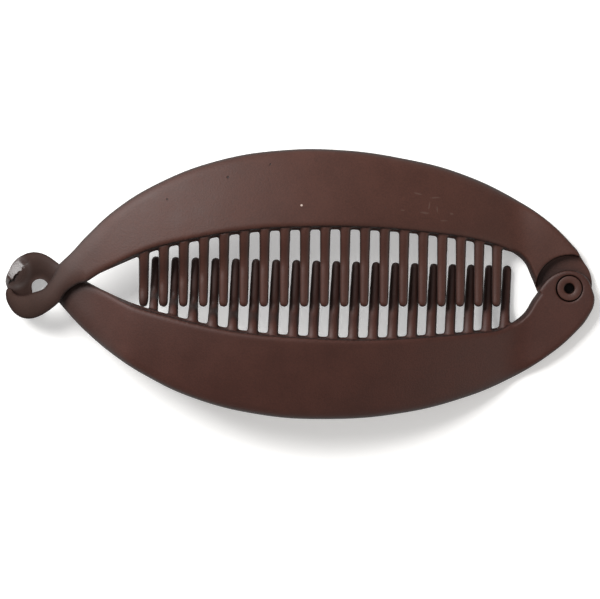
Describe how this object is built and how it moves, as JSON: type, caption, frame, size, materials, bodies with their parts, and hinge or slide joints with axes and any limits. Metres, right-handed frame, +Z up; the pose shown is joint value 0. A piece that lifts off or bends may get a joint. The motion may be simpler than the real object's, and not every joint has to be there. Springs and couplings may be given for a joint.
{
  "type": "banana hair clip",
  "caption": "Brown plastic banana hair clip: two curved comb arms hinged at one end, with interlocking curled tails at the other.",
  "frame": {"origin": "centre of the bounding box on the surface that the clip lies on", "axes": "+X along the clip towards the hinge, +Y across it towards the upper arm, +Z up out of the domed face"},
  "size_m": [0.1352, 0.0618, 0.0192],
  "materials": {
    "upper_arm": "soft matte",
    "lower_arm": "soft matte",
    "hinge_pin": "soft matte"
  },
  "bodies": {
    "lower": {"lower_arm": "lower_arm", "hinge_pin": "hinge_pin"},
    "upper": {"upper_arm": "upper_arm"}
  },
  "joints": [
    {"name": "hinge_swing", "type": "hinge", "parent": "lower", "child": "upper", "pos_m": [0.0618, -0.0008, 0.0019], "axis": [0, 0, -1], "range_deg": [0, 70]}
  ]
}
